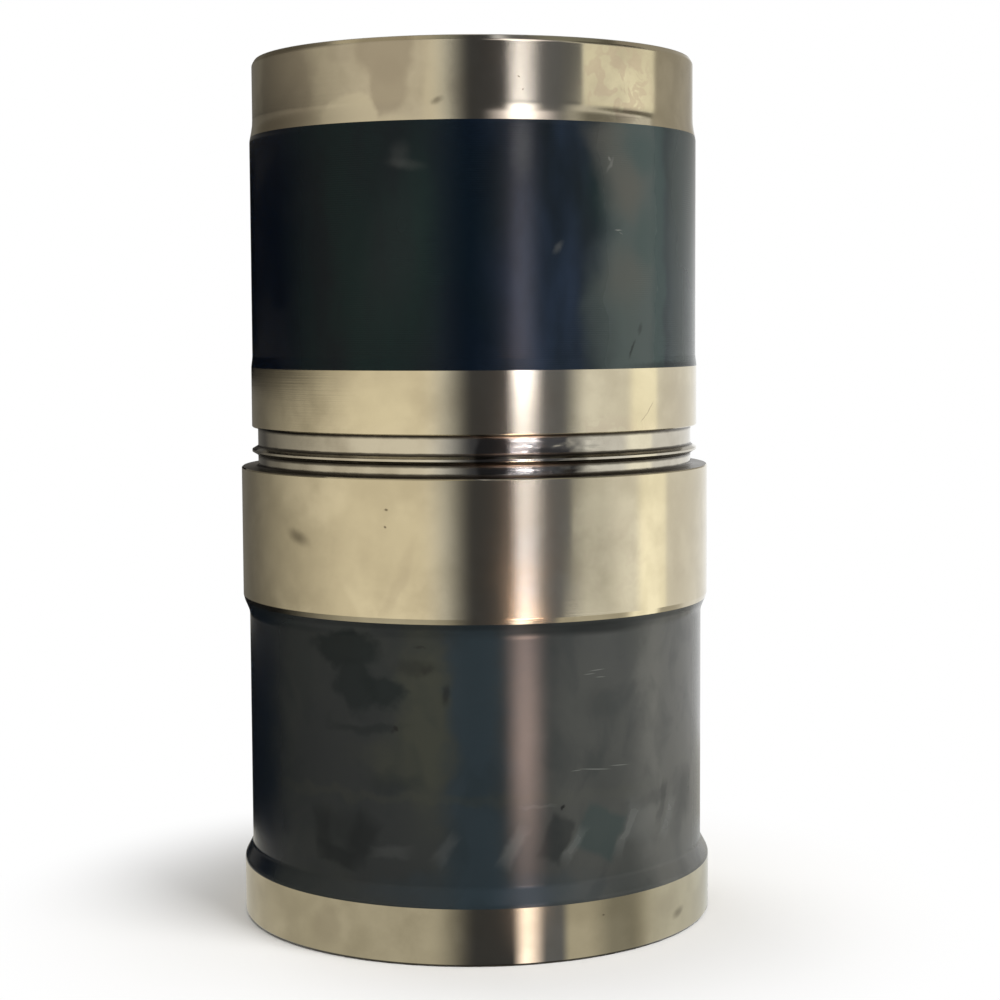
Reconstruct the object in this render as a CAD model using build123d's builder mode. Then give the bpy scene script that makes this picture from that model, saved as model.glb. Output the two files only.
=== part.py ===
from build123d import *
import os

# Wet cylinder liner of a heavy truck diesel, 130 mm bore, millimetres.
#
# The liner is one centrifugally cast iron tube, turned and ground outside and honed inside.
# It stands here on its deck end, as it is stored: Z = 0 is the deck face, +Z runs along the
# bore towards the crankcase end, and the origin is on the bore's axis. Fitted in an engine it
# is the other way up: the crankcase end goes in first, so every land is a little smaller than
# the one below it here, and the liner hangs on the seat face halfway along.

# Bore
bore_diameter = 130.0
bore_run_out_height = 2.6  # conical run-out of the hone at the crankcase end
bore_run_out_depth = 1.2  # how far that cone cuts into the wall
bore_edge_break = 0.8  # 45 degree break at the deck end

# Radial build-up: the thinnest wall, and what each land adds to the one before it
neck_wall = 5.6
pilot_rise = 0.5  # pilot band over the neck
skirt_rise = 1.0  # coated skirt over the pilot band
spigot_rise = 0.4  # ground spigot band over the skirt
jacket_rise = 1.5  # coated water jacket wall over the spigot band
belt_rise = 2.0  # seat belt over the jacket wall
head_rise = 0.6  # head band over the seat belt

# Lengths along the bore, from the deck face up
head_height = 18.4
head_flare_height = 4.8  # cone from the head band down to the jacket wall
jacket_height = 76.0
shoulder_height = 3.8  # cone from the jacket wall up to the belt
belt_height = 43.2  # up to the seat face
neck_height = 12.7
spigot_height = 19.4
spigot_taper_height = 3.2
skirt_height = 68.8
pilot_taper_height = 5.0
pilot_height = 20.7  # crankcase end

# Sealing fin in the neck
fin_height = 5.2  # from the seat face to the middle of the fin
fin_land = 0.7  # width of its rim
fin_root = 2.9  # its width at the neck

# Edges
deck_edge_height = 0.9  # outer edge of the deck face
deck_edge_depth = 0.7
belt_lead_height = 1.6  # lower edge of the belt
belt_lead_depth = 0.4
seat_edge_break = 0.35  # outer edge of the seat face
spigot_edge_break = 0.3  # spigot band's edge at the neck
pilot_lead_height = 1.6  # lead-in that pushes the seals open at the crankcase end
pilot_lead_depth = 0.95

# Tool radii left in the corners
flare_radius = 3.0
shoulder_radius = 6.0
neck_radius = 0.9
pilot_taper_radius = 6.0

# Radii of the lands
bore_r = bore_diameter / 2
neck_r = bore_r + neck_wall
pilot_r = neck_r + pilot_rise
skirt_r = pilot_r + skirt_rise
spigot_r = skirt_r + spigot_rise
jacket_r = spigot_r + jacket_rise
belt_r = jacket_r + belt_rise
head_r = belt_r + head_rise

# Heights of the corners
flare_top = head_height + head_flare_height
jacket_top = flare_top + jacket_height
belt_bottom = jacket_top + shoulder_height
seat_z = belt_bottom + belt_height
fin_z = seat_z + fin_height
neck_top = seat_z + neck_height
spigot_top = neck_top + spigot_height
skirt_bottom = spigot_top + spigot_taper_height
skirt_top = skirt_bottom + skirt_height
pilot_bottom = skirt_top + pilot_taper_height
length = pilot_bottom + pilot_height

# Outside of the liner from the deck face up: radius and height of each corner, and the tool
# radius that is left in it, where 0 is a plain corner
deck_corners = [
    (0, 0, 0),
    (head_r - deck_edge_depth, 0, 0),
    (head_r, deck_edge_height, 0),
    (head_r, head_height, flare_radius),
    (jacket_r, flare_top, flare_radius),
    (jacket_r, jacket_top, shoulder_radius),
    (belt_r - belt_lead_depth, belt_bottom, 0),
    (belt_r, belt_bottom + belt_lead_height, 0),
    (belt_r, seat_z - seat_edge_break, 0),
    (belt_r - seat_edge_break, seat_z, 0),
]
neck_corners = [
    (neck_r, seat_z, neck_radius),
    (neck_r, fin_z - fin_root / 2, 0),
    (spigot_r, fin_z - fin_land / 2, 0),
    (spigot_r, fin_z + fin_land / 2, 0),
    (neck_r, fin_z + fin_root / 2, 0),
    (neck_r, neck_top, neck_radius),
]
crankcase_corners = [
    (spigot_r - spigot_edge_break, neck_top, 0),
    (spigot_r, neck_top + spigot_edge_break, 0),
    (spigot_r, spigot_top, 0),
    (skirt_r, skirt_bottom, 0),
    (skirt_r, skirt_top, pilot_taper_radius),
    (pilot_r, pilot_bottom, pilot_taper_radius),
    (pilot_r, length - pilot_lead_height, 0),
    (pilot_r - pilot_lead_depth, length, 0),
    (0, length, 0),
]
corners = deck_corners + neck_corners + crankcase_corners

with BuildPart() as cylinder_liner:
    # Turned outside: half the section, swung round the bore's axis
    with BuildSketch(Plane.XZ) as section:
        with BuildLine():
            Polyline(*[(radius, height) for radius, height, tool_radius in corners], close=True)
        make_face()
        for radius, height, tool_radius in corners:
            if tool_radius > 0:
                fillet(section.vertices().sort_by_distance((radius, height))[0], tool_radius)
    revolve(axis=Axis.Z)

    # Bore, with its run-out at the crankcase end and its edge break at the deck end
    with Locations((0, 0, length)):
        Hole(bore_r)
    crankcase_face = cylinder_liner.faces().filter_by(Axis.Z).sort_by(Axis.Z)[-1]
    crankcase_mouth = crankcase_face.inner_wires()[0].edge()
    chamfer(crankcase_mouth, bore_run_out_depth, bore_run_out_height, reference=crankcase_face)
    deck_face = cylinder_liner.faces().filter_by(Axis.Z).sort_by(Axis.Z)[0]
    deck_mouth = deck_face.inner_wires()[0].edge()
    chamfer(deck_mouth, bore_edge_break)

cylinder_liner.part.label = "cylinder_liner"
os.makedirs("parts", exist_ok=True)
export_step(cylinder_liner.part, "parts/cylinder_liner.step")
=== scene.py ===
import math

import bpy
from mathutils import Matrix, Vector


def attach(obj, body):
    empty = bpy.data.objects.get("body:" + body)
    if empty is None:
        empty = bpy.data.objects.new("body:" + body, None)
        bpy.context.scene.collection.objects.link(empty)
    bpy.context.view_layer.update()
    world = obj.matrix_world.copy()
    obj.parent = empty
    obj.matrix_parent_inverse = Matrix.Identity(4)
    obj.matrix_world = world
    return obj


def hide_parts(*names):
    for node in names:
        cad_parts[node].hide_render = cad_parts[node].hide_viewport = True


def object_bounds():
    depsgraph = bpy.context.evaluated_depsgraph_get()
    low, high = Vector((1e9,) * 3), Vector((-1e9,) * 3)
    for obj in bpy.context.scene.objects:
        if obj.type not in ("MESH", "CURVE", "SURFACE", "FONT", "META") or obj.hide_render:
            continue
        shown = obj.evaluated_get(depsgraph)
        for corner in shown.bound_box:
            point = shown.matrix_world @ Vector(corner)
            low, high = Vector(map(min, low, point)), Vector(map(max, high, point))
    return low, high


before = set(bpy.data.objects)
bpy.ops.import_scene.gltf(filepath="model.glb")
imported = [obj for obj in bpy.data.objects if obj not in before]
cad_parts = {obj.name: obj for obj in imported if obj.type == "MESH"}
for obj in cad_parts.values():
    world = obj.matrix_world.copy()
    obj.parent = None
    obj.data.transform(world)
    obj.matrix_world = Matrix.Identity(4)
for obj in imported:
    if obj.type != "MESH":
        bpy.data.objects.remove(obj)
cad_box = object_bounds()
scene = bpy.context.scene


# ---- The turned tube --------------------------------------------------------------------------
# The liner is one centrifugally cast iron tube. Its lands, walls, neck and end faces are turned
# or ground on one axis and its bore is honed, so its whole surface is one outline swung round
# that axis. It stands on its deck end, and nothing is fixed to it.

MM = 0.001
low, high = cad_box
length = (high[2] - low[2]) / MM
head_radius = (high[0] - low[0]) / 2 / MM

# Radii, in millimetres from the axis
bore_radius = 65.0
neck_radius = 70.6
pilot_radius = 71.1
skirt_radius = 72.1
spigot_radius = 72.5  # the fin's rim is ground to it too
jacket_radius = 74.0
belt_radius = 76.0

# Heights above the deck face, in millimetres
head_top = 18.4
flare_top = 23.2
jacket_top = 99.2
belt_bottom = 103.0
seat_height = 146.2
fin_height = 151.4
neck_top = 158.9
spigot_top = 178.3
skirt_bottom = 181.5
skirt_top = 250.3
coat_end = 251.4  # the upper coat stops a little way up the pilot's cone
pilot_bottom = 255.3

# What the tools leave at the edges and in the corners
sharp_edge = 0.12  # a deburred edge, which is never truly sharp
flare_tool = 3.0
shoulder_tool = 6.0
neck_tool = 0.9
fin_tool = 0.5
taper_tool = 4.0
pilot_tool = 6.0
foot_tool = 20.0  # the wheel's own radius, where the pilot band runs out into its cone
lead_tool = 1.6
deck_tool = 0.6
fin_land = 0.7
fin_root = 2.9
deck_chamfer = (0.7, 0.9)  # depth into the wall, height
belt_lead = (0.4, 1.6)
seat_break = 0.35
spigot_break = 0.3
pilot_lead = (0.95, 1.6)
run_out = (1.2, 2.6)  # of the hone at the crankcase end
bore_break = 0.8

cone_slope = (skirt_radius - pilot_radius) / (pilot_bottom - skirt_top)
coat_radius = skirt_radius - cone_slope * (coat_end - skirt_top)

# The outline: radius, height, tool radius and the finish of the surface that starts there
outline = [
    (bore_radius + bore_break, 0, sharp_edge, "turned face"),
    (head_radius - deck_chamfer[0], 0, sharp_edge, "turned face"),
    (head_radius, deck_chamfer[1], deck_tool, "ground land"),
    (head_radius, head_top, flare_tool, "jacket coat"),
    (jacket_radius, flare_top, flare_tool, "jacket coat"),
    (jacket_radius, jacket_top, shoulder_tool, "jacket coat"),
    (belt_radius - belt_lead[0], belt_bottom, sharp_edge, "ground land"),
    (belt_radius, belt_bottom + belt_lead[1], sharp_edge, "ground land"),
    (belt_radius, seat_height - seat_break, sharp_edge, "ground land"),
    (belt_radius - seat_break, seat_height, sharp_edge, "turned neck"),
    (neck_radius, seat_height, neck_tool, "turned neck"),
    (neck_radius, fin_height - fin_root / 2, fin_tool, "turned neck"),
    (spigot_radius, fin_height - fin_land / 2, sharp_edge, "turned neck"),
    (spigot_radius, fin_height + fin_land / 2, sharp_edge, "turned neck"),
    (neck_radius, fin_height + fin_root / 2, fin_tool, "turned neck"),
    (neck_radius, neck_top, neck_tool, "turned neck"),
    (spigot_radius - spigot_break, neck_top, sharp_edge, "ground land"),
    (spigot_radius, neck_top + spigot_break, sharp_edge, "ground land"),
    (spigot_radius, spigot_top, taper_tool, "skirt coat"),
    (skirt_radius, skirt_bottom, taper_tool, "skirt coat"),
    (skirt_radius, skirt_top, pilot_tool, "skirt coat"),
    (coat_radius, coat_end, 0, "ground land"),
    (pilot_radius, pilot_bottom, foot_tool, "ground land"),
    (pilot_radius, length - pilot_lead[1], lead_tool, "ground land"),
    (pilot_radius - pilot_lead[0], length, deck_tool, "turned face"),
    (bore_radius + run_out[0], length, sharp_edge, "turned face"),
    (bore_radius, length - run_out[1], sharp_edge, "honed bore"),
    (bore_radius, bore_break, sharp_edge, "turned face"),
]
finishes = ["ground land", "skirt coat", "jacket coat", "turned neck", "turned face", "honed bore"]


def rounded(corners):
    """The outline with its corners rounded: each point's place, normal and finish."""
    step = math.radians(8)  # the most that one facet of an arc turns
    points = []
    for i, (radius, height, tool, finish) in enumerate(corners):
        here = Vector((radius, height))
        into = (here - Vector(corners[i - 1][:2])).normalized()
        out = (Vector(corners[(i + 1) % len(corners)][:2]) - here).normalized()
        turn = math.atan2(into.x * out.y - into.y * out.x, into.dot(out))
        if tool == 0:
            normal = Vector((into.y, -into.x))
            points.append((here, normal, finish))
            continue
        reach = tool * math.tan(abs(turn) / 2)
        start = here - into * reach
        side = math.copysign(1, turn)
        centre = start + Vector((-into.y, into.x)) * tool * side
        steps = max(2, math.ceil(abs(turn) / step))
        for k in range(steps + 1):
            angle = turn * k / steps
            spoke = start - centre
            spoke.rotate(Matrix.Rotation(angle, 2))
            points.append((centre + spoke, spoke.normalized() * side, finish))
    return points


def swung(name, points, around):
    """Swings the outline round the bore's axis into one closed mesh with true normals."""
    corners, normals, faces, slots, unwrapped = [], [], [], [], []
    along = [0.0]
    for (here, _, _), (there, _, _) in zip(points, points[1:] + points[:1]):
        along.append(along[-1] + (there - here).length)
    for point, normal, _ in points:
        for j in range(around):
            angle = math.tau * j / around + math.pi / 2  # the seam of the unwrapping is at the back
            x, y = math.cos(angle), math.sin(angle)
            corners.append((point.x * x * MM, point.x * y * MM, point.y * MM))
            normals.append((normal.x * x, normal.x * y, normal.y))
    for i, (_, _, finish) in enumerate(points):
        row = i * around
        next_row = (i + 1) % len(points) * around
        for j in range(around):
            beside = (j + 1) % around
            faces.append((row + j, row + beside, next_row + beside, next_row + j))
            slots.append(finishes.index(finish))
            for across, up in ((j, i), (j + 1, i), (j + 1, i + 1), (j, i + 1)):
                unwrapped += [across / around, along[up] / along[-1]]
    mesh = bpy.data.meshes.new(name)
    mesh.from_pydata(corners, [], faces)
    mesh.polygons.foreach_set("material_index", slots)
    mesh.polygons.foreach_set("use_smooth", [True] * len(faces))
    mesh.uv_layers.new(name="OFBake").uv.foreach_set("vector", unwrapped)
    mesh.normals_split_custom_set_from_vertices(normals)
    piece = bpy.data.objects.new(name, mesh)
    scene.collection.objects.link(piece)
    return piece


liner = swung("liner", rounded(outline), around=320)
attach(liner, "root")
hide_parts("cylinder_liner")


# ---- Ground lands -----------------------------------------------------------------------------
# The head band, seat belt, spigot band and pilot band are bare grey iron, cylindrically ground.
# The wheel leaves a satin mirror: sharp across the bore's axis and drawn out along it, under a
# thin film of preserving oil that has dried in pale and dark clouds.


def linear(hex_colour):
    """An sRGB hex colour as the linear RGBA that a shader takes."""
    parts = [int(hex_colour[i : i + 2], 16) / 255 for i in (1, 3, 5)]
    return [p / 12.92 if p <= 0.04045 else ((p + 0.055) / 1.055) ** 2.4 for p in parts] + [1]


def add(tree, kind, inputs=None, **settings):
    """Adds a node: settings are its own options, inputs its sockets' values or links."""
    made = tree.nodes.new(kind)
    for name, value in settings.items():
        setattr(made, name, value)
    for name, value in (inputs or {}).items():
        if isinstance(value, bpy.types.NodeSocket):
            tree.links.new(value, made.inputs[name])
        else:
            made.inputs[name].default_value = value
    return made


def new_material(name):
    """A material with nothing in it but a Principled shader."""
    material = bpy.data.materials.new(name)
    material.use_nodes = True
    tree = material.node_tree
    return material, tree, tree.nodes["Principled BSDF"]


def clouds(tree, size_mm, low, high, stretch=(1, 1, 1), detail=3, twist=0.0, offset=0.0):
    """Noise of that size, as a mask that goes from 0 at low to 1 at high."""
    place = add(tree, "ShaderNodeTexCoord").outputs["Object"]
    moved = {"Vector": place, "Scale": stretch, "Location": (offset, offset, offset)}
    spread = add(tree, "ShaderNodeMapping", moved).outputs[0]
    grain = {"Vector": spread, "Scale": 1 / (size_mm * MM), "Detail": detail, "Distortion": twist}
    noise = add(tree, "ShaderNodeTexNoise", grain).outputs[0]
    limits = {0: noise, 1: low, 2: high}
    return add(tree, "ShaderNodeMapRange", limits, interpolation_type="SMOOTHSTEP").outputs[0]


def layered(tree, ground, *films):
    """The ground's colour, with each film's colour laid over it where the film's mask is 1."""
    colour = linear(ground)
    for mask, film_colour in films:
        inputs = {0: mask, 6: colour, 7: linear(film_colour)}
        colour = add(tree, "ShaderNodeMix", inputs, data_type="RGBA").outputs[2]
    return colour


def sums(tree, start, *terms):
    """A level: start, plus each mask times its amount."""
    total = start
    for mask, amount in terms:
        term = {0: mask, 1: amount, 2: total}
        total = add(tree, "ShaderNodeMath", term, operation="MULTIPLY_ADD").outputs[0]
    return total


def wall_place(tree, radius):
    """Where a point lies on the unrolled wall: millimetres round from the front, and height."""
    place = add(tree, "ShaderNodeTexCoord").outputs["Object"]
    x, y, z = add(tree, "ShaderNodeSeparateXYZ", {0: place}).outputs
    front = add(tree, "ShaderNodeMath", {0: y, 1: -1.0}, operation="MULTIPLY").outputs[0]
    angle = add(tree, "ShaderNodeMath", {0: x, 1: front}, operation="ARCTAN2").outputs[0]
    arc = add(tree, "ShaderNodeMath", {0: angle, 1: radius}, operation="MULTIPLY").outputs[0]
    up = add(tree, "ShaderNodeMath", {0: z, 1: 1 / MM}, operation="MULTIPLY").outputs[0]
    return add(tree, "ShaderNodeCombineXYZ", {0: arc, 1: up}).outputs[0]


def ragged(tree, place, size_mm, push_mm):
    """The unrolled wall with its points pushed about, which makes the edge of a mark ragged."""
    grain = {"Vector": place, "Scale": 1 / size_mm, "Detail": 3}
    noise = add(tree, "ShaderNodeTexNoise", grain, noise_dimensions="2D").outputs["Color"]
    middle = (0.5, 0.5, 0)  # of what the noise gives
    shift = add(tree, "ShaderNodeVectorMath", {0: noise, 1: middle}, operation="SUBTRACT").outputs[0]
    pushed = {0: shift, 1: (2 * push_mm, 2 * push_mm, 0), 2: place}
    return add(tree, "ShaderNodeVectorMath", pushed, operation="MULTIPLY_ADD").outputs[0]


def marks(tree, place, radius, spots, straight=False):
    """A mask of spots on the wall, which are round, or straight-sided if straight is set.

    A spot is degrees from the front and height, width and height in mm, lean in degrees,
    softness of its edge and strength.
    """
    total = 0.0
    for azimuth, height, wide, tall, lean, soft, strength in spots:
        lies = {
            "Vector": place,
            "Location": (math.radians(azimuth) * radius, height, 0),
            "Rotation": (0, 0, math.radians(lean)),
            "Scale": (wide / 2, tall / 2, 1),
        }
        spot = add(tree, "ShaderNodeMapping", lies, vector_type="TEXTURE").outputs[0]
        if straight:
            sides = add(tree, "ShaderNodeVectorMath", {0: spot}, operation="ABSOLUTE").outputs[0]
            x, y, _ = add(tree, "ShaderNodeSeparateXYZ", {0: sides}).outputs
            away = add(tree, "ShaderNodeMath", {0: x, 1: y}, operation="MAXIMUM").outputs[0]
        else:
            away = add(tree, "ShaderNodeVectorMath", {0: spot}, operation="LENGTH").outputs[1]
        edge = {0: away, 1: 1 - soft, 2: 1 + soft, 3: strength, 4: 0.0}
        mask = add(tree, "ShaderNodeMapRange", edge, interpolation_type="SMOOTHSTEP").outputs[0]
        left = add(tree, "ShaderNodeMath", {0: 1.0, 1: mask}, operation="SUBTRACT").outputs[0]
        joined = {0: total, 1: left, 2: mask}
        total = add(tree, "ShaderNodeMath", joined, operation="MULTIPLY_ADD").outputs[0]
    return total


def surface(tree, shader, colour, roughness, relief, drawn_out=0.0):
    """Links a finish to its shader; drawn_out is how far turning or grinding stretches its shine."""
    tree.links.new(colour, shader.inputs["Base Color"])
    tree.links.new(roughness, shader.inputs["Roughness"])
    tree.links.new(relief, shader.inputs["Normal"])
    if drawn_out:
        round_axis = add(tree, "ShaderNodeTangent", direction_type="RADIAL", axis="Z").outputs[0]
        tree.links.new(round_axis, shader.inputs["Tangent"])
        shader.inputs["Anisotropic"].default_value = drawn_out
        shader.inputs["Anisotropic Rotation"].default_value = 0.25  # from round the wall to up it


ground_iron, tree, shader = new_material("ground_grey_iron")
wall = wall_place(tree, belt_radius)
lobed = ragged(tree, wall, size_mm=11, push_mm=2.6)
film = clouds(tree, size_mm=34, low=0.44, high=0.58, detail=2, twist=0.8)
haze = clouds(tree, size_mm=13, low=0.35, high=0.75, detail=5, offset=3.1)
# The wheel's lines are 0.02 mm apart; these are 0.5 mm, the finest that shows
lines = clouds(tree, size_mm=60, low=0.2, high=0.8, stretch=(1, 1, 120), detail=2)
dried_dark = marks(
    tree,
    lobed,
    belt_radius,
    [
        (-21.0, 272.0, 19.0, 20.0, 0, 0.2, 0.85),
        (-20.5, 262.0, 12.0, 16.0, 0, 0.25, 0.8),
        (-55.0, 262.0, 34.0, 46.0, 0, 0.2, 0.85),
        (-33.0, 272.0, 12.0, 5.0, 0, 0.4, 0.3),
        (-60.0, 255.0, 30.0, 30.0, 0, 0.3, 0.3),
        (41.0, 272.0, 14.0, 9.0, 0, 0.6, 0.5),
        (33.0, 263.0, 8.0, 8.0, 20, 0.7, 0.3),
        (60.0, 165.0, 20.0, 30.0, 0, 0.5, 0.4),
        (-17.0, 116.0, 3.0, 24.0, -22, 0.6, 0.3),
        (60.0, 125.0, 30.0, 60.0, 0, 0.5, 0.4),
        (-37.0, 9.0, 10.0, 12.0, -20, 0.5, 0.4),
        (50.0, 12.0, 12.0, 8.0, 0, 0.6, 0.4),
    ],
)
dried_pale = marks(
    tree,
    lobed,
    belt_radius,
    [
        (-31.0, 253.5, 22.0, 13.0, 0, 0.12, 1.0),
        (-22.0, 249.5, 22.0, 7.0, 0, 0.3, 0.7),
        (-8.5, 258.0, 9.0, 30.0, 0, 0.4, 0.6),
        (-25.0, 168.0, 26.0, 14.0, 5, 0.5, 0.5),
        (38.0, 112.0, 16.0, 14.0, 0, 0.5, 0.4),
    ],
)
# Pale wrinkles where the oil has dried last
wrinkled = clouds(tree, size_mm=5, low=0.47, high=0.53, detail=2, twist=1.2, offset=4.4)
wrinkled_here = marks(
    tree,
    lobed,
    belt_radius,
    [
        (38.0, 263.0, 30.0, 24.0, 0, 0.4, 0.55),
        (35.0, 155.0, 40.0, 16.0, 0, 0.5, 0.3),
        (30.0, 120.0, 50.0, 30.0, 0, 0.5, 0.1),
    ],
)
wrinkles = add(tree, "ShaderNodeMath", {0: wrinkled, 1: wrinkled_here}, operation="MULTIPLY").outputs[0]
brown_spots = marks(
    tree,
    ragged(tree, wall, size_mm=2, push_mm=0.3),
    belt_radius,
    [
        (-8.4, 257.0, 3.2, 1.7, 25, 0.8, 0.5),
        (11.0, 263.9, 1.0, 0.5, -25, 0.5, 0.8),
        (12.0, 260.2, 0.9, 0.5, 10, 0.5, 0.8),
        (8.2, 269.5, 0.5, 0.8, 0, 0.5, 0.5),
        (-45.2, 127.4, 7.5, 3.2, -18, 0.9, 0.45),
        (-20.3, 137.0, 0.9, 0.7, 0, 0.5, 0.7),
        (-20.6, 131.9, 0.7, 0.7, 0, 0.5, 0.7),
        (55.3, 7.3, 5.0, 2.4, 14, 0.8, 0.5),
        (30.0, 13.0, 0.8, 0.6, 0, 0.5, 0.6),
        (47.8, 165.8, 5.0, 0.3, 48, 0.5, 0.4),
        (45.5, 163.0, 4.0, 0.25, 40, 0.5, 0.35),
    ],
)
filmed = layered(
    tree,
    "#d2c8ad",
    (film, "#c8bea3"),
    (haze, "#beb49a"),
    (dried_dark, "#b0a58e"),
    (dried_pale, "#d6ccaf"),
    (wrinkles, "#b9a894"),
    (brown_spots, "#4a3f30"),
)
dulled = sums(tree, 0.112, (film, 0.01), (haze, 0.03), (dried_dark, 0.04), (brown_spots, 0.25))
depth = 0.006 * MM
height = sums(tree, 0.0, (lines, 1.0), (haze, 0.4))
relief = {"Height": height, "Strength": 0.35, "Distance": depth}
bump = add(tree, "ShaderNodeBump", relief).outputs[0]
surface(tree, shader, filmed, dulled, bump, drawn_out=0.6)
shader.inputs["Metallic"].default_value = 1.0


# ---- Skirt coat -------------------------------------------------------------------------------
# The wall above the spigot band is coated with black phosphate and oiled. The coat is thin, so
# the turned wall's feed marks show through it, and it looks blue-black: a weak shine over almost
# no colour of its own, with rubbed and fingered places a little greyer.

skirt_coat, tree, shader = new_material("black_phosphate_oiled")
wall = wall_place(tree, skirt_radius)
lobed = ragged(tree, wall, size_mm=14, push_mm=3)
patches = clouds(tree, size_mm=60, low=0.40, high=0.62, detail=3, twist=0.5, offset=1.7)
mottle = clouds(tree, size_mm=16, low=0.3, high=0.75, stretch=(1, 1, 0.35), detail=4, offset=7.3)
oily_green = marks(
    tree,
    lobed,
    skirt_radius,
    [(-30, 212, 66, 150, 0, 0.35, 1.0), (28.5, 228, 14, 22, 0, 0.6, 0.8)],
)
oily_blue = marks(tree, lobed, skirt_radius, [(18, 212, 22, 170, 0, 0.5, 1.0)])
# Painted shade: the side turned away from the lamps is painted nearly black, with a fainter dark band
# down the front. The coat is also glossier under it, as thick oil
thick_oil_and_painted_shade = marks(
    tree,
    lobed,
    skirt_radius,
    [(-82, 212, 88, 900, 0, 0.35, 1.0), (-3, 212, 14, 900, 0, 0.8, 0.6)],
)
rubbed_grey = marks(
    tree,
    lobed,
    skirt_radius,
    [
        (43, 212, 23, 260, 0, 0.5, 0.72),
        (72, 212, 46, 260, 0, 0.3, 0.45),
        (32, 195, 12, 34, 0, 0.6, 0.4),
        (-19, 214, 16, 40, -12, 0.8, 0.08),
    ],
)
rubbed_brown = marks(
    tree,
    lobed,
    skirt_radius,
    [
        (35.5, 241, 11, 15, 0, 0.9, 0.6),
        (40.5, 232, 14, 14, 0, 0.8, 0.8),
        (40.0, 206, 16, 15, 0, 0.8, 0.5),
        (33.0, 248, 12, 8, 0, 0.9, 0.5),
    ],
)
rubbed_teal = marks(
    tree,
    lobed,
    skirt_radius,
    [
        (45.5, 243, 13, 10, 0, 0.6, 0.7),
        (46.5, 217, 10, 16, 0, 0.6, 0.7),
        (52.0, 205, 6, 130, 0, 0.6, 0.8),
    ],
)
light_marks = marks(
    tree,
    ragged(tree, wall, size_mm=3, push_mm=0.7),
    skirt_radius,
    [
        (11.4, 243.5, 5.5, 15.0, 0, 0.9, 0.12),
        (-16.0, 238.6, 9.0, 2.6, -8, 0.9, 0.12),
        (-17.5, 241.5, 5.0, 6.0, -20, 0.9, 0.10),
        (34.6, 238.8, 0.9, 4.0, -30, 0.7, 0.35),
        (34.4, 240.6, 0.7, 1.2, 20, 0.5, 0.5),
        (37.0, 219.6, 2.4, 0.45, 0, 0.4, 0.8),
        (38.0, 218.4, 1.6, 0.3, -25, 0.4, 0.4),
        (20.3, 214.2, 1.8, 3.6, -38, 0.9, 0.18),
    ],
)
dark_marks = marks(
    tree,
    ragged(tree, wall, size_mm=2, push_mm=0.6),
    skirt_radius,
    [
        (41.6, 184.0, 0.9, 5.4, -28, 0.6, 0.6),
        (44.4, 190.0, 1.2, 3.0, -20, 0.8, 0.4),
        (60.0, 178.6, 40.0, 2.4, 0, 0.6, 0.5),
    ],
)
feed_pitch = 0.65 * MM  # for each turn, where the real feed was finer and wouldn't show
bands_apart = math.tau / 20  # how far apart the wave texture's bands are at a scale of 1
place = add(tree, "ShaderNodeTexCoord").outputs["Object"]
feed = {"Vector": place, "Scale": bands_apart / feed_pitch}
grooves = add(tree, "ShaderNodeTexWave", feed, bands_direction="Z").outputs["Fac"]
grooved = clouds(tree, size_mm=22, low=0.46, high=0.62, detail=2, offset=5.2)
deep = add(tree, "ShaderNodeMath", {0: grooves, 1: grooved}, operation="MULTIPLY").outputs[0]
coated = layered(
    tree,
    "#141d28",
    (patches, "#101a20"),
    (oily_green, "#0e1f1e"),
    (oily_blue, "#1d2735"),
    (mottle, "#0e1519"),
    (thick_oil_and_painted_shade, "#030b18"),
    (rubbed_grey, "#474f4b"),
    (rubbed_brown, "#494842"),
    (rubbed_teal, "#34403e"),
    (light_marks, "#6f706b"),
    (dark_marks, "#0c1010"),
)
# It is sharpest where the oil lies thickest, and dullest where it is rubbed off
dulled = sums(tree, 0.24, (patches, 0.03), (rubbed_grey, 0.06), (thick_oil_and_painted_shade, -0.10))
depth = 0.03 * MM
bump = add(tree, "ShaderNodeBump", {"Height": deep, "Strength": 0.6, "Distance": depth}).outputs[0]
surface(tree, shader, coated, dulled, bump, drawn_out=0.9)
shader.inputs["IOR"].default_value = 1.22  # the oil film's weak shine, not a varnish's


# ---- Jacket coat ------------------------------------------------------------------------------
# The wall between the head band and the belt, which coolant washes in the engine, has the same
# coat over a smoother turned wall. It has been handled more: it looks greyer and glossier, with
# dark wetted patches, and slanting rub marks in a row above the flare.

jacket_coat, tree, shader = new_material("grey_phosphate_handled")
wall = wall_place(tree, jacket_radius)
lobed = ragged(tree, wall, size_mm=9, push_mm=4.5)
patches = clouds(tree, size_mm=38, low=0.40, high=0.62, detail=4, twist=0.6, offset=2.9)
blotches = clouds(
    tree,
    size_mm=14,
    low=0.46,
    high=0.66,
    stretch=(1, 1, 0.7),
    detail=4,
    twist=0.6,
    offset=3.8,
)
blotched = sums(tree, 0.0, (blotches, 0.25))
olive = marks(
    tree,
    lobed,
    jacket_radius,
    [
        (-12, 76, 14, 52, 0, 0.5, 0.9),
        (-17, 62, 26, 12, 0, 0.6, 0.6),
        (-4, 50, 200, 3, 0, 0.6, 0.3),
    ],
)
bluish = marks(
    tree,
    lobed,
    jacket_radius,
    [(0, 60, 17, 600, 0, 0.6, 0.9), (4, 22, 60, 9, 0, 0.6, 0.7)],
)
worn_grey = marks(
    tree,
    lobed,
    jacket_radius,
    [
        (66, 60, 62, 180, 0, 0.35, 0.9),
        (47, 84, 12, 34, 0, 0.5, 0.5),
        (28, 66, 32, 120, 0, 0.5, 0.4),
    ],
)
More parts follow.
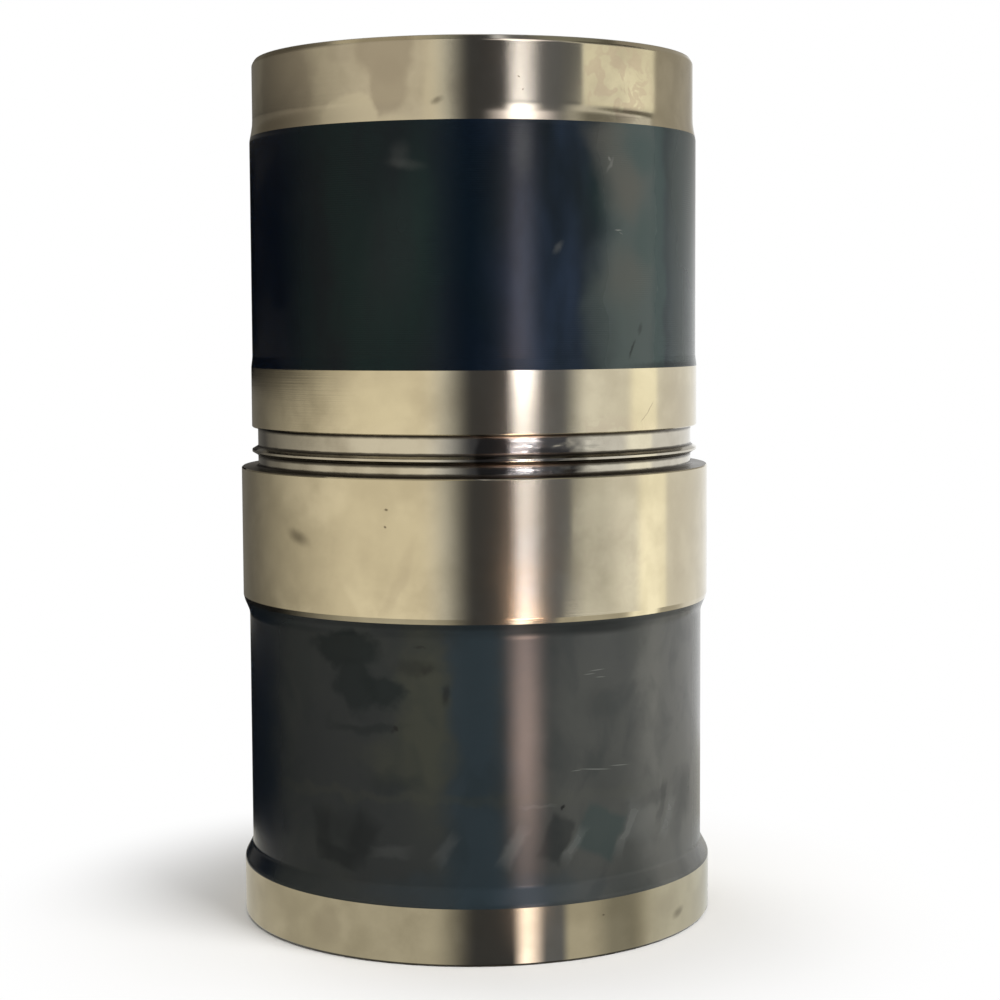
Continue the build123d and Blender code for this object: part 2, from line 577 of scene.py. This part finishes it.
wetted = marks(
    tree,
    lobed,
    jacket_radius,
    [
        (-32.5, 94.4, 22.0, 11.0, 0, 0.25, 0.85),
        (-29.6, 84.0, 15.0, 15.0, 0, 0.25, 0.85),
        (-22.0, 82.0, 14.0, 9.0, 0, 0.3, 0.8),
        (-27.0, 71.2, 23.0, 3.6, 0, 0.6, 0.5),
        (-20.0, 55.0, 16.0, 6.0, 0, 0.7, 0.3),
        (29.7, 77.0, 10.0, 12.0, 0, 0.8, 0.2),
        (31.0, 54.0, 13.0, 14.0, 0, 0.8, 0.2),
    ],
)
# Painted shade: the side turned away from the lamps is painted nearly black, and the coat is glossier
# there
thick_oil_and_painted_shade = marks(tree, lobed, jacket_radius, [(-84, 60, 72, 900, 0, 0.3, 0.9)])
# Painted shadow: a dark ring right round the wall just under the belt, wider and darker at one place on
# the right
painted_shadow_under_belt = marks(
    tree,
    ragged(tree, wall, size_mm=20, push_mm=0.3),
    jacket_radius,
    [(0, 102.5, 900, 2.4, 0, 0.5, 0.5), (30, 100.5, 34, 3.6, 0, 0.6, 0.7)],
)
spots = marks(
    tree,
    ragged(tree, wall, size_mm=3, push_mm=1.2),
    jacket_radius,
    [
        (-13.0, 95.8, 3.6, 1.0, 0, 0.6, 0.5),
        (-14.0, 89.6, 12.0, 4.4, 0, 0.7, 0.4),
        (-11.3, 89.3, 3.6, 2.2, 10, 0.6, 0.4),
        (-19.2, 70.8, 1.8, 1.6, 0, 0.5, 0.8),
        (-7.0, 82.0, 2.6, 5.4, -10, 0.7, 0.6),
        (20.5, 46.5, 1.4, 1.0, 0, 0.5, 0.9),
    ],
)
# The row of slanting prints where the liner has been gripped and wiped
gripped = ragged(tree, wall, size_mm=7, push_mm=1.5)
dark_prints = marks(
    tree,
    gripped,
    jacket_radius,
    [
        (-39.5, 37.5, 6.0, 12.0, 4, 0.6, 0.6),
        (-35.0, 30.5, 13.0, 5.0, -10, 0.5, 0.75),
        (-28.0, 36.5, 8.0, 13.0, -28, 0.5, 0.65),
        (-33.0, 39.0, 14.0, 10.0, 0, 0.8, 0.4),
        (19.0, 37.4, 8.0, 13.5, -24, 0.2, 0.5),
        (46.0, 45.0, 18.0, 3.4, 8, 0.7, 0.22),
        (51.0, 43.0, 2.8, 12.0, -18, 0.5, 0.35),
        (63.0, 44.0, 8.0, 14.0, -12, 0.5, 0.3),
    ],
    straight=True,
)
teal_print = [(30.5, 38.0, 15.0, 14.0, -24, 0.2, 0.6)]
teal_prints = marks(tree, gripped, jacket_radius, teal_print, straight=True)
light_prints = marks(
    tree,
    gripped,
    jacket_radius,
    [
        (-20.5, 33.4, 11.0, 3.0, 4, 0.7, 0.12),
        (-7.2, 35.0, 3.0, 9.0, -38, 0.7, 0.15),
        (8.5, 35.6, 3.8, 11.0, -30, 0.6, 0.28),
        (23.4, 35.2, 2.6, 10.0, -35, 0.6, 0.26),
        (38.5, 37.4, 3.2, 13.0, -28, 0.6, 0.26),
        (43.0, 39.0, 12.0, 11.0, -20, 0.6, 0.16),
        (54.0, 38.0, 4.0, 11.0, -26, 0.6, 0.28),
        (14.0, 47.4, 10.0, 0.8, 0, 0.6, 0.2),
    ],
    straight=True,
)
scratches = marks(
    tree,
    wall,
    jacket_radius,
    [
        (29.5, 87.6, 4.6, 0.25, 3, 0.6, 0.3),
        (27.5, 86.6, 3.4, 0.25, 2, 0.6, 0.25),
        (30.5, 85.4, 3.0, 0.25, -2, 0.6, 0.25),
        (29.0, 57.4, 9.0, 0.30, -6, 0.6, 0.35),
        (36.0, 57.6, 6.0, 0.25, -4, 0.6, 0.3),
        (24.0, 57.6, 3.0, 0.25, 2, 0.6, 0.25),
    ],
)
coated = layered(
    tree,
    "#2a2d2d",
    (patches, "#2d302e"),
    (bluish, "#283237"),
    (olive, "#373930"),
    (worn_grey, "#53534f"),
    (wetted, "#0b1617"),
    (thick_oil_and_painted_shade, "#08131f"),
    (painted_shadow_under_belt, "#15191a"),
    (blotched, "#1c2325"),
    (spots, "#161615"),
    (dark_prints, "#131819"),
    (teal_prints, "#2b3837"),
    (light_prints, "#6a6c69"),
    (scratches, "#8d8d88"),
)
dulled = sums(tree, 0.22, (patches, 0.03), (light_prints, 0.10), (thick_oil_and_painted_shade, -0.08))
# Handling has scuffed it along its turning marks, a millimetre apart and so coarser than those
scuffs = clouds(tree, size_mm=40, low=0.3, high=0.7, stretch=(1, 1, 40), detail=3)
depth = 0.01 * MM
bump = add(tree, "ShaderNodeBump", {"Height": scuffs, "Strength": 0.3, "Distance": depth}).outputs[0]
surface(tree, shader, coated, dulled, bump, drawn_out=0.9)
shader.inputs["IOR"].default_value = 1.28  # the same film, handled until it shines a little more


# ---- Turned neck and fin ----------------------------------------------------------------------
# The neck, its sealing fin and the seat face are bare grey iron, turned to size with a fine
# feed after the grinding. They are whiter than the ground lands and mirror more, with painted
# shade in the corners and on the left side, and oil that has run together near the front.

turned_neck, tree, shader = new_material("fine_turned_grey_iron")
wall = wall_place(tree, neck_radius)
haze = clouds(tree, size_mm=12, low=0.35, high=0.75, detail=4, offset=4.4)
# The feed marks are 0.1 mm apart; these are 0.45 mm, the finest that shows
lines = clouds(tree, size_mm=50, low=0.2, high=0.8, stretch=(1, 1, 110), detail=2)
# Painted shade in the corners, as dark rings right round the neck, and two spots of grime by the seat
ring = 2000.0  # mm, wider than the wall is long
grime_and_corner_shade = marks(
    tree,
    ragged(tree, wall, size_mm=3, push_mm=0.12),
    neck_radius,
    [
        (0, seat_height + 0.3, ring, 1.5, 0, 0.5, 0.9),
        (0, fin_height - fin_root / 2 - 0.1, ring, 1.3, 0, 0.6, 0.85),
        (0, fin_height + fin_root / 2 + 0.1, ring, 0.9, 0, 0.5, 0.85),
        (0, neck_top - 0.2, ring, 1.6, 0, 0.6, 0.9),
        (17.6, 147.6, 4.6, 1.0, 0, 0.6, 0.7),
        (23.6, 147.8, 5.0, 1.0, 4, 0.6, 0.7),
    ],
)
# Oil that has run together near the front, and painted shade: the neck's left side, far round from the
# lamps, is painted dark
oil_and_painted_shade = marks(
    tree,
    ragged(tree, wall, size_mm=5, push_mm=0.8),
    neck_radius,
    [
        (4.2, 152.5, 10.0, 20.0, 0, 0.2, 0.75),
        (18.5, 153.7, 17.0, 2.4, -2, 0.5, 0.6),
        (22.0, 152.5, 14.5, 20.0, 0, 0.2, 0.5),
        (24.2, 148.4, 9.0, 2.6, 0, 0.5, 0.7),
        (-78.0, 152.5, 26.0, 30.0, 0, 0.3, 0.85),
    ],
)
# Where the oil has run together it bends what the metal mirrors
waves = clouds(tree, size_mm=7, low=0.3, high=0.7, stretch=(1, 1, 2.5), detail=1, offset=9.2)
wavy_here = marks(tree, wall, neck_radius, [(21.0, 152.5, 26.0, 24.0, 0, 0.5, 1.0)])
wavy = add(tree, "ShaderNodeMath", {0: waves, 1: wavy_here}, operation="MULTIPLY").outputs[0]
run_depth = 0.12 * MM
run_oil = add(tree, "ShaderNodeBump", {"Height": wavy, "Distance": run_depth}).outputs[0]
depth = 0.006 * MM
relief = {"Height": lines, "Strength": 0.4, "Distance": depth, "Normal": run_oil}
bump = add(tree, "ShaderNodeBump", relief).outputs[0]
dirtied = layered(
    tree,
    "#c6c0b0",
    (haze, "#b2ab9b"),
    (oil_and_painted_shade, "#4d4a46"),
    (grime_and_corner_shade, "#2e271e"),
)
dulled = sums(tree, 0.11, (haze, 0.04), (grime_and_corner_shade, 0.25))
surface(tree, shader, dirtied, dulled, bump, drawn_out=0.7)
shader.inputs["Metallic"].default_value = 1.0


# ---- End faces and edges ----------------------------------------------------------------------
# The deck face, the crankcase face and the bore's two chamfers are bare iron, turned on the
# lathe. Rings from the tool run round them, and the metal looks duller than the ground lands.

turned_face, tree, shader = new_material("faced_grey_iron")
place = add(tree, "ShaderNodeTexCoord").outputs["Object"]
x, y, z = add(tree, "ShaderNodeSeparateXYZ", {0: place}).outputs
flat = add(tree, "ShaderNodeCombineXYZ", {0: x, 1: y}).outputs[0]
from_axis = add(tree, "ShaderNodeVectorMath", {0: flat}, operation="LENGTH").outputs[1]
facing_pitch = 0.3 * MM  # the facing tool's feed for each turn
in_turns = {0: from_axis, 1: math.tau / facing_pitch}
turns = add(tree, "ShaderNodeMath", in_turns, operation="MULTIPLY").outputs[0]
rings = add(tree, "ShaderNodeMath", {0: turns}, operation="SINE").outputs[0]
haze = clouds(tree, size_mm=10, low=0.3, high=0.7, detail=4, offset=6.6)
# It is darker at the edge that it stands on
dark_full, dark_end = 0.7 * MM, 1.7 * MM
dark_share = {0: z, 1: dark_full, 2: dark_end, 3: 0.95, 4: 0.0}
dark_foot = add(tree, "ShaderNodeMapRange", dark_share).outputs[0]
faced = layered(tree, "#cac4b4", (haze, "#b0aa9a"), (dark_foot, "#38342b"))
dulled = sums(tree, 0.26, (haze, 0.08))
depth = 0.004 * MM
bump = add(tree, "ShaderNodeBump", {"Height": rings, "Strength": 0.3, "Distance": depth}).outputs[0]
surface(tree, shader, faced, dulled, bump)
shader.inputs["Metallic"].default_value = 1.0


# ---- Honed bore -------------------------------------------------------------------------------
# The bore is plateau-honed: stones that turn and stroke at once leave two sets of fine grooves
# that cross at a flat angle and hold oil. It looks silver grey, satin, with a shimmer that
# crosses over itself.

honed_bore, tree, shader = new_material("honed_grey_iron")
wall = wall_place(tree, bore_radius)
arc, up, _ = add(tree, "ShaderNodeSeparateXYZ", {0: wall}).outputs
hone_angle = 25.0  # degrees of each set of grooves from level
groove_space = 0.7  # mm, where the real ones are 0.05 mm apart and don't show
crossed = 0.0
for side in (1, -1):
    slope = side * math.tan(math.radians(hone_angle))
    across = add(tree, "ShaderNodeMath", {0: arc, 1: slope, 2: up}, operation="MULTIPLY_ADD").outputs[0]
    stroke = {"W": across, "Scale": 1 / groove_space, "Detail": 2}
    groove = add(tree, "ShaderNodeTexNoise", stroke, noise_dimensions="1D").outputs[0]
    crossed = sums(tree, crossed, (groove, 0.5))
haze = clouds(tree, size_mm=30, low=0.3, high=0.7, detail=3, offset=8.8)
hazed = sums(tree, 0.0, (haze, 0.25))
silver = layered(tree, "#eae6dc", (crossed, "#aaa69d"), (hazed, "#b4b0a6"))
dulled = sums(tree, 0.28, (crossed, 0.12))
depth = 0.04 * MM
bump = add(tree, "ShaderNodeBump", {"Height": crossed, "Strength": 0.5, "Distance": depth}).outputs[0]
surface(tree, shader, silver, dulled, bump)
shader.inputs["Metallic"].default_value = 1.0

for material in (ground_iron, skirt_coat, jacket_coat, turned_neck, turned_face, honed_bore):
    liner.data.materials.append(material)


# ---- Floor and surround -----------------------------------------------------------------------
# A plain pale floor that runs out to a white surround. Near the liner it is matt paint and takes
# the shadow; further off it fades to the surround's own white, so that no horizon shows.

reach = 6.0  # metres, so far that its edge isn't seen
floor_corners = [(-reach, -reach, 0), (reach, -reach, 0), (reach, reach, 0), (-reach, reach, 0)]
floor_mesh = bpy.data.meshes.new("floor")
floor_mesh.from_pydata(floor_corners, [], [(0, 1, 2, 3)])
floor = bpy.data.objects.new("floor", floor_mesh)
scene.collection.objects.link(floor)

floor_paint, tree, shader = new_material("matt_white_paint")
shader.inputs["Base Color"].default_value = linear("#eeedeb")
shader.inputs["Roughness"].default_value = 0.6


def seen_directly(tree):
    """1 for rays from the camera and for those that metal or glass sends on, 0 for the rest."""
    path = add(tree, "ShaderNodeLightPath").outputs
    rays = {0: path["Is Camera Ray"], 1: path["Is Glossy Ray"]}
    seen = add(tree, "ShaderNodeMath", rays, operation="MAXIMUM").outputs[0]
    rays = {0: seen, 1: path["Is Transmission Ray"]}
    return add(tree, "ShaderNodeMath", rays, operation="MAXIMUM").outputs[0]


fade_start, fade_end = 78 * MM, 170 * MM  # from the axis; it starts just outside the liner
place = add(tree, "ShaderNodeTexCoord").outputs["Object"]
away = add(tree, "ShaderNodeVectorMath", {0: place}, operation="LENGTH").outputs[1]
limits = {0: away, 1: fade_start, 2: fade_end}
fade = add(tree, "ShaderNodeMapRange", limits, interpolation_type="SMOOTHSTEP").outputs[0]
share = add(tree, "ShaderNodeMath", {0: fade, 1: seen_directly(tree)}, operation="MULTIPLY").outputs[0]
white = add(tree, "ShaderNodeEmission", {"Color": linear("#ffffff")}).outputs[0]
mixed = add(tree, "ShaderNodeMixShader", {0: share, 1: shader.outputs[0], 2: white}).outputs[0]
tree.links.new(mixed, tree.nodes["Material Output"].inputs["Surface"])
floor_mesh.materials.append(floor_paint)

world = bpy.data.worlds.new("white_surround")
scene.world = world
world.use_nodes = True
tree = world.node_tree
soft_level = 0.25  # what the surround gives to matt surfaces
level = add(tree, "ShaderNodeMapRange", {0: seen_directly(tree), 3: soft_level, 4: 1.0}).outputs[0]
surround = tree.nodes["Background"]
surround.inputs["Color"].default_value = linear("#ffffff")
tree.links.new(level, surround.inputs["Strength"])


# ---- Studio light -----------------------------------------------------------------------------
# The liner is lit as a polished tube is: in a white surround, with cards that give the metal its
# dark and bright lines, and three soft lamps, the strongest to the right. The cards show in
# reflections only, and the lamps not even there.

# The camera's place, from which the cards are worked out, in metres
camera_away = 0.7117
camera_height = 0.1916


def card_cloth(name, tone, level, fade):
    """Glowing cloth; fade is how much of it goes clear at its left, right and first edges."""
    material, tree, shader = new_material(name)
    tree.nodes.remove(shader)
    sides = add(tree, "ShaderNodeUVMap", uv_map="sides").outputs[0]
    u, v, _ = add(tree, "ShaderNodeSeparateXYZ", {0: sides}).outputs
    solid = 1.0
    for (side, edge, inward), width in zip(((u, 0.0, 1), (u, 1.0, -1), (v, 0.0, 1)), fade):
        if width:
            limits = {0: side, 1: edge, 2: edge + inward * width}
            rise = add(tree, "ShaderNodeMapRange", limits, interpolation_type="SMOOTHSTEP").outputs[0]
            solid = add(tree, "ShaderNodeMath", {0: rise, 1: solid}, operation="MULTIPLY").outputs[0]
    clear = add(tree, "ShaderNodeBsdfTransparent").outputs[0]
    cloth = add(tree, "ShaderNodeEmission", {"Color": linear(tone), "Strength": level}).outputs[0]
    mixed = add(tree, "ShaderNodeMixShader", {0: solid, 1: clear, 2: cloth}).outputs[0]
    tree.links.new(mixed, tree.nodes["Material Output"].inputs["Surface"])
    return material


def card(name, seen, line, tone, level=1.0, fade=(0.0, 0.0, 0.0)):
    """A card that the camera sees mirrored between two angles round the liner, in degrees.

    line is its side view, as distances from the liner and heights, in metres. tone, level and
    fade are those of its cloth.
    """
    steps = 32  # across its width, so that it bends round the liner without corners
    points, faces, unwrapped = [], [], []
    for k in range(steps + 1):
        at = math.radians(seen[0] + (seen[1] - seen[0]) * k / steps)
        x, y = belt_radius * MM * math.sin(at), -belt_radius * MM * math.cos(at)
        way = 2 * at + math.atan2(x, camera_away + y)
        for distance, height in line:
            points.append((x + distance * math.sin(way), y - distance * math.cos(way), height))
    rows = len(line)
    for k in range(steps):
        for r in range(rows - 1):
            here, beside = k * rows + r, (k + 1) * rows + r
            faces.append((here, beside, beside + 1, here + 1))
            for across, up in ((k, r), (k + 1, r), (k + 1, r + 1), (k, r + 1)):
                unwrapped += [across / steps, up / (rows - 1)]
    mesh = bpy.data.meshes.new(name)
    mesh.from_pydata(points, [], faces)
    mesh.uv_layers.new(name="sides").uv.foreach_set("vector", unwrapped)
    piece = bpy.data.objects.new(name, mesh)
    scene.collection.objects.link(piece)
    mesh.materials.append(card_cloth(name, tone, level, fade))
    for rays in ("camera", "diffuse", "transmission", "volume_scatter", "shadow"):
        setattr(piece, "visible_" + rays, False)


all_round = (-89, 89)
# The grey floor and ceiling round it. A card on the floor lies above those it covers
card("floor_card", all_round, [(0, 0.0001), (0.30, 0.0001)], "#c2bfb6")
card("dull_floor_card", (25, 45), [(0, 0.0003), (0.12, 0.0003)], "#92918b", fade=(0.4, 0.4))
card("right_floor_card", (36, 89), [(0, 0.0002), (0.13, 0.0002)], "#d8dad8", fade=(0.25, 0.0))
card("ceiling_card", all_round, [(1.3, 1.7), (0, 1.7)], "#90918c")
card("left_ceiling_card", (-89, -8), [(1.3, 1.69), (0, 1.69)], "#c4beb0", fade=(0.0, 0.2))

# The left of the room: a warm wall, and dark cards low down and far off in it
card("warm_card", (-89, -5), [(0.3, 0.0002), (1.4, 0.0002), (1.4, 1.7)], "#fdf6e6", fade=(0.0, 0.1))
card("upper_left_card", (-88, -5), [(1.25, 0.24), (1.25, 1.6)], "#dbd6cf", fade=(0.0, 0.1, 0.08))
card("left_card", (-86, -24), [(0.12, 0.0003), (1.2, 0.0003), (1.2, 1.6)], "#706d67", fade=(0.0, 0.75))
card("low_left_card", (-88, -30), [(0.10, 0.0004), (0.66, 0.0004)], "#101216", fade=(0.15, 0.5, 0.1))
card("far_left_card", (-88, -24), [(1.15, 0.13), (1.15, 0.36)], "#06070a", fade=(0.15, 0.45, 0.1))
card("high_left_card", (-88, -24), [(1.14, 0.44), (1.14, 1.5)], "#5f5b53", fade=(0.0, 0.8, 0.05))

# The right of the room: a bright side, dull walls, and one window pane in its frame
card(
    "dull_far_card",
    (21.5, 38),
    [(0.72, 0.0004), (1.19, 0.0004), (1.19, 0.066)],
    "#d3d4d3",
    fade=(0.08, 0.55),
)
card(
    "narrow_far_card",
    (18.0, 26.5),
    [(0.72, 0.0006), (1.19, 0.0006), (1.19, 0.066)],
    "#6c707c",
    fade=(0.05, 0.7),
)
card("side_card", (39, 51.5), [(0.15, 0.0004), (1.2, 0.0004), (1.2, 0.4)], "#fffdf2", 1.4, (0.3, 0.15))
card("upper_right_card", (49.8, 89), [(1.1, 0.24), (1.1, 1.6)], "#aeaaa3", fade=(0.06, 0.4, 0.05))
card("dark_right_card", (22, 51), [(1.1, 0.62), (1.1, 1.6)], "#6c6b66", fade=(0.3, 0.0, 0.1))
card("pane_card", (27.0, 54.5), [(1.18, 0.345), (1.18, 0.49)], "#fdfbee", 1.12, (0.03, 0.03, 0.08))
card("pane_side_card", (53.7, 61.0), [(1.17, 0.33), (1.17, 0.60)], "#6f6c60", fade=(0.08, 0.7, 0.1))
card("pane_foot_card", (26.0, 60.0), [(1.16, 0.48), (1.16, 0.62)], "#5b5950", fade=(0.3, 0.1, 0.35))
card("narrow_top_card", (20.0, 27.4), [(1.15, 0.345), (1.15, 0.50)], "#5c606a", fade=(0.5, 0.07, 0.08))

# The dark gap that the camera stands in
gap_line = [(0, 0.0005), (1.2, 0.0005), (1.2, 1.6), (0, 1.6)]
card("camera_card", (-11.5, 12.0), gap_line, "#42444b", fade=(0.48, 0.05))
card("narrow_card", (11.5, 28.5), [(1.2, 0.0), (1.2, 1.6), (0, 1.6)], "#6c707c", fade=(0.05, 0.45))
card("narrow_floor_card", (11.5, 21.4), [(0, 0.0005), (1.2, 0.0005)], "#6c707c", fade=(0.05, 0.25))

# The tall narrow window that gives the bright line, each part as bright as the metal needs
card("window_card", (7.2, 17.1), [(1.15, 0.0), (1.15, 1.55), (0, 1.55)], "#e4e9ff", 1.15, (0.38, 0.60))
card("window_foot", (7.6, 15.8), [(0, 0.0006), (0.72, 0.0006)], "#f3e6ea", 2.5, (0.40, 0.60))
card("window_far_foot", (7.6, 15.8), [(0.72, 0.0006), (1.15, 0.0006)], "#d0d8ff", 1.6, (0.40, 0.60))
card("wide_window", (2.0, 24.0), [(1.1, 0.66), (1.1, 1.5)], "#f3eeff", 3.0, (0.5, 0.5, 0.25))
card("high_window", (7.2, 17.8), [(1.12, 0.46), (1.12, 1.30)], "#f0eeff", 4.4, (0.4, 0.6, 0.15))
card("window_middle", (7.4, 16.8), [(1.12, 0.20), (1.12, 0.27)], "#f0ecff", 34.0, (0.4, 0.6, 0.15))
card("window_on_floor", (5.8, 17.5), [(0.20, 0.0007), (0.36, 0.0007)], "#ffd8c4", 70.0, (0.5, 0.53, 0.1))


lit_height = 0.12  # metres, a little under the liner's middle, where the lamps aim


def lamp(name, azimuth, height, away, size, level):
    """A square soft lamp; level is the brightness it gives to white paint that faces it."""
    data = bpy.data.lights.new(name, "AREA")
    data.size = size
    piece = bpy.data.objects.new(name, data)
    angle = math.radians(azimuth)
    piece.location = (away * math.sin(angle), -away * math.cos(angle), height)
    aim = Vector((0, 0, lit_height)) - piece.location
    # The lamp's face and the matt paint each spread their light, and each costs a factor of pi
    data.energy = level * math.pi**2 * aim.length_squared
    piece.rotation_euler = aim.to_track_quat("-Z", "Y").to_euler()
    piece.visible_camera = False
    piece.visible_glossy = False
    scene.collection.objects.link(piece)


lamp("key_lamp", azimuth=48, height=1.3, away=1.4, size=1.0, level=1.05)
lamp("back_lamp", azimuth=215, height=1.4, away=1.2, size=1.0, level=0.30)
lamp("top_lamp", azimuth=200, height=1.6, away=0.1, size=1.2, level=0.22)


# ---- Camera -----------------------------------------------------------------------------------
# A short telephoto lens, a little above the middle of the liner and tipped slightly down.

camera_down = math.radians(4.63)
camera_aside = math.radians(0.665)
camera_tilt = math.radians(-0.298)
film_width = 36.0  # mm
focal_length = 78.11  # mm

camera_data = bpy.data.cameras.new("camera")
camera_data.sensor_fit = "HORIZONTAL"
camera_data.sensor_width = film_width
camera_data.lens = focal_length
camera = bpy.data.objects.new("camera", camera_data)
scene.collection.objects.link(camera)
level_way = Vector((math.sin(camera_aside), math.cos(camera_aside), 0))
forward = level_way * math.cos(camera_down) + Vector((0, 0, -math.sin(camera_down)))
right = Vector((math.cos(camera_aside), -math.sin(camera_aside), 0))
upward = right.cross(forward)
turned = Matrix.Identity(3)
turned.col[0] = right * math.cos(camera_tilt) + upward * math.sin(camera_tilt)
turned.col[1] = upward * math.cos(camera_tilt) - right * math.sin(camera_tilt)
turned.col[2] = -forward
camera.matrix_world = Matrix.Translation((0, -camera_away, camera_height)) @ turned.to_4x4()
scene.camera = camera

scene.view_settings.view_transform = "Standard"
